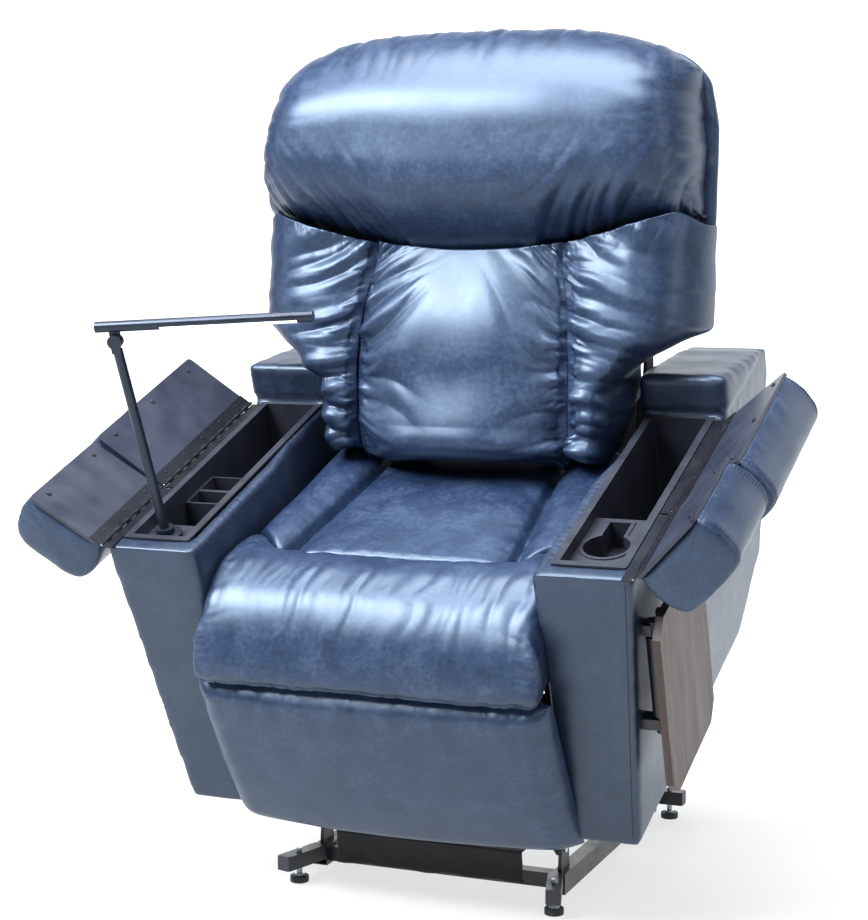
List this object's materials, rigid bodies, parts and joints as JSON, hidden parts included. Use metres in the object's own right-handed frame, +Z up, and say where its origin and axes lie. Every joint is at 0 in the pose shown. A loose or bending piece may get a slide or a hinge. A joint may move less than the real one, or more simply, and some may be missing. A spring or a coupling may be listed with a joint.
{
  "type": "lift recliner chair",
  "caption": "Padded lift recliner raised on a steel lift base, with storage arms under hinged lids, a folding lamp, a side table and an extending footrest.",
  "frame": {"origin": "on the floor, midway between the four feet", "axes": "+X to the right as seen from the front, the chair faces -Y, +Z up; rest pose is raised and tilted forward with the lids open"},
  "size_m": [1.1818, 1.0365, 1.43],
  "materials": {
    "black_steel": "satin black powder coat",
    "zinc_steel": "zinc plated",
    "black_plastic": "textured black",
    "foot_rubber": "matte",
    "dust_cloth": "black non-woven cloth",
    "frame_wood": "raw plywood",
    "leather": "glossy navy upholstery leather",
    "lid_board": "dark grey panel",
    "hinge_steel": "black piano hinge",
    "lamp_metal": "anodised near-black",
    "lamp_lens": "opal diffuser",
    "table_laminate": "walnut laminate"
  },
  "bodies": {
    "base": {"base_rails": "black_steel", "base_outriggers": "black_steel", "base_end_caps": "black_plastic", "base_brackets": "black_steel", "base_pivot_bolts": "zinc_steel", "base_dust_cover": "dust_cloth"},
    "foot_front_left": {"foot_front_left": "foot_rubber"},
    "foot_front_right": {"foot_front_right": "foot_rubber"},
    "foot_rear_left": {"foot_rear_left": "foot_rubber"},
    "foot_rear_right": {"foot_rear_right": "foot_rubber"},
    "lift_link": {"lift_arms": "black_steel", "lift_torsion_tube": "black_steel"},
    "stay_link": {"stay_links": "black_steel"},
    "lift_motor": {"lift_motor": "black_plastic"},
    "lift_rod": {"lift_rod": "zinc_steel"},
    "seat": {"seat_side_frames": "frame_wood", "seat_cross_rails": "black_steel", "seat_pivot_bolts": "zinc_steel", "seat_deck": "frame_wood", "control_box": "black_plastic", "footrest_motor": "black_plastic", "arm_left": "leather", "arm_right": "leather", "tub_left": "black_plastic", "tub_right": "black_plastic", "cup_holder": "black_plastic", "divider_tray": "black_plastic", "lid_hinge_fixed_leaves": "hinge_steel", "lamp_base": "lamp_metal", "table_post": "black_steel", "seat_cushion": "leather", "front_roll": "leather", "rear_panel": "leather"},
    "footrest_rod": {"footrest_rod": "zinc_steel"},
    "back": {"back_frame": "frame_wood", "back_lower_cushion": "leather", "back_wings": "leather", "head_pillow": "leather", "back_cover": "leather"},
    "footrest_lower": {"footrest_lower_links": "black_steel"},
    "footrest_upper": {"footrest_upper_links": "black_steel"},
    "footrest_board": {"footrest_board": "frame_wood", "footrest_pad": "leather"},
    "lamp_post": {"lamp_post": "lamp_metal"},
    "lamp_head": {"lamp_bar": "lamp_metal", "lamp_lens": "lamp_lens"},
    "table_arm": {"table_arm": "black_steel"},
    "table_top": {"table_top": "table_laminate"},
    "lid_left_front": {"lid_left_front_pad": "leather", "lid_left_front_board": "lid_board", "lid_left_front_hinge": "hinge_steel"},
    "lid_left_rear": {"lid_left_rear_pad": "leather", "lid_left_rear_board": "lid_board", "lid_left_rear_hinge": "hinge_steel"},
    "lid_right_front": {"lid_right_front_pad": "leather", "lid_right_front_board": "lid_board", "lid_right_front_hinge": "hinge_steel"},
    "lid_right_rear": {"lid_right_rear_pad": "leather", "lid_right_rear_board": "lid_board", "lid_right_rear_hinge": "hinge_steel"}
  },
  "joints": [
    {"name": "foot_front_left_turn", "type": "hinge", "parent": "base", "child": "foot_front_left", "pos_m": [-0.228, -0.305, 0], "axis": [0, 0, 1], "continuous": true},
    {"name": "foot_front_right_turn", "type": "hinge", "parent": "base", "child": "foot_front_right", "pos_m": [0.228, -0.305, 0], "axis": [0, 0, 1], "continuous": true},
    {"name": "foot_rear_left_turn", "type": "hinge", "parent": "base", "child": "foot_rear_left", "pos_m": [-0.249, 0.305, 0], "axis": [0, 0, 1], "continuous": true},
    {"name": "foot_rear_right_turn", "type": "hinge", "parent": "base", "child": "foot_rear_right", "pos_m": [0.249, 0.305, 0], "axis": [0, 0, 1], "continuous": true},
    {"name": "lift", "type": "hinge", "parent": "base", "child": "lift_link", "pos_m": [0, 0.073, 0.1], "axis": [-1, 0, 0], "range_deg": [-26.27, 0]},
    {"name": "chair_tilt", "type": "hinge", "parent": "lift_link", "child": "seat", "pos_m": [0, -0.24044, 0.2547], "axis": [1, 0, 0], "range_deg": [-45.88, 0]},
    {"name": "stay_swing", "type": "hinge", "parent": "base", "child": "stay_link", "pos_m": [0, -0.22, 0.085], "axis": [-1, 0, 0], "range_deg": [-32.96, 0]},
    {"name": "lift_motor_swing", "type": "hinge", "parent": "base", "child": "lift_motor", "pos_m": [-0.07, 0.255, 0.07], "axis": [-1, 0, 0], "range_deg": [-23.66, 0]},
    {"name": "lift_rod_slide", "type": "slide", "parent": "lift_motor", "child": "lift_rod", "axis": [0, -0.8132, 0.582], "range_m": [-0.07054, 0]},
    {"name": "lid_left_front_close", "type": "hinge", "parent": "seat", "child": "lid_left_front", "pos_m": [-0.437, -0.57745, 0.60494], "axis": [0, 0.9421, 0.3355], "range_deg": [0, 74]},
    {"name": "lid_left_rear_close", "type": "hinge", "parent": "seat", "child": "lid_left_rear", "pos_m": [-0.437, -0.57745, 0.60494], "axis": [0, 0.9421, 0.3355], "range_deg": [0, 141]},
    {"name": "lid_right_front_close", "type": "hinge", "parent": "seat", "child": "lid_right_front", "pos_m": [0.437, -0.57745, 0.60494], "axis": [0, -0.9421, -0.3355], "range_deg": [0, 132]},
    {"name": "lid_right_rear_close", "type": "hinge", "parent": "seat", "child": "lid_right_rear", "pos_m": [0.437, -0.57745, 0.60494], "axis": [0, -0.9421, -0.3355], "range_deg": [0, 138.5]},
    {"name": "recline", "type": "hinge", "parent": "seat", "child": "back", "pos_m": [0, 0.07304, 0.6264], "axis": [1, 0, 0], "range_deg": [-35, 0]},
    {"name": "footrest", "type": "hinge", "parent": "seat", "child": "footrest_lower", "pos_m": [0, -0.3274, 0.4095], "axis": [1, 0, 0], "range_deg": [-75, 0]},
    {"name": "footrest_elbow", "type": "hinge", "parent": "footrest_lower", "child": "footrest_upper", "pos_m": [0, -0.28251, 0.2238], "axis": [1, 0, 0], "range_deg": [0, 117.83]},
    {"name": "footrest_board_tilt", "type": "hinge", "parent": "footrest_upper", "child": "footrest_board", "pos_m": [0, -0.47678, 0.36693], "axis": [1, 0, 0], "range_deg": [-127.81, 0]},
    {"name": "footrest_rod_slide", "type": "slide", "parent": "seat", "child": "footrest_rod", "axis": [0, -0.9421, -0.3355], "range_m": [0, 0.05489]},
    {"name": "lamp_swivel", "type": "hinge", "parent": "seat", "child": "lamp_post", "pos_m": [-0.363, -0.50792, 0.61835], "axis": [0, -0.3355, 0.9421], "range_deg": [-150, 150]},
    {"name": "lamp_head_tilt", "type": "hinge", "parent": "lamp_post", "child": "lamp_head", "pos_m": [-0.365, -0.64987, 0.93052], "axis": [0.1894, -0.925, -0.3294], "range_deg": [-20, 60]},
    {"name": "table_swing", "type": "hinge", "parent": "seat", "child": "table_arm", "pos_m": [0.44, -0.3567, 0.15492], "axis": [0, -0.3355, 0.9421], "range_deg": [-26, 0]},
    {"name": "table_flip", "type": "hinge", "parent": "table_arm", "child": "table_top", "pos_m": [0.448, -0.54458, 0.51262], "axis": [0, -0.9421, -0.3355], "range_deg": [0, 90]}
  ],
  "couplings": [
    {"joint": "chair_tilt", "follows": "lift", "ratio": 1.7461},
    {"joint": "stay_swing", "follows": "lift", "ratio": 1.2544},
    {"joint": "lift_motor_swing", "follows": "lift", "ratio": 0.90032},
    {"joint": "lift_rod_slide", "follows": "lift", "m_per_rad": 0.15364},
    {"joint": "footrest_elbow", "follows": "footrest", "ratio": -1.571},
    {"joint": "footrest_board_tilt", "follows": "footrest", "ratio": 1.704},
    {"joint": "footrest_rod_slide", "follows": "footrest", "m_per_rad": -0.041855}
  ]
}
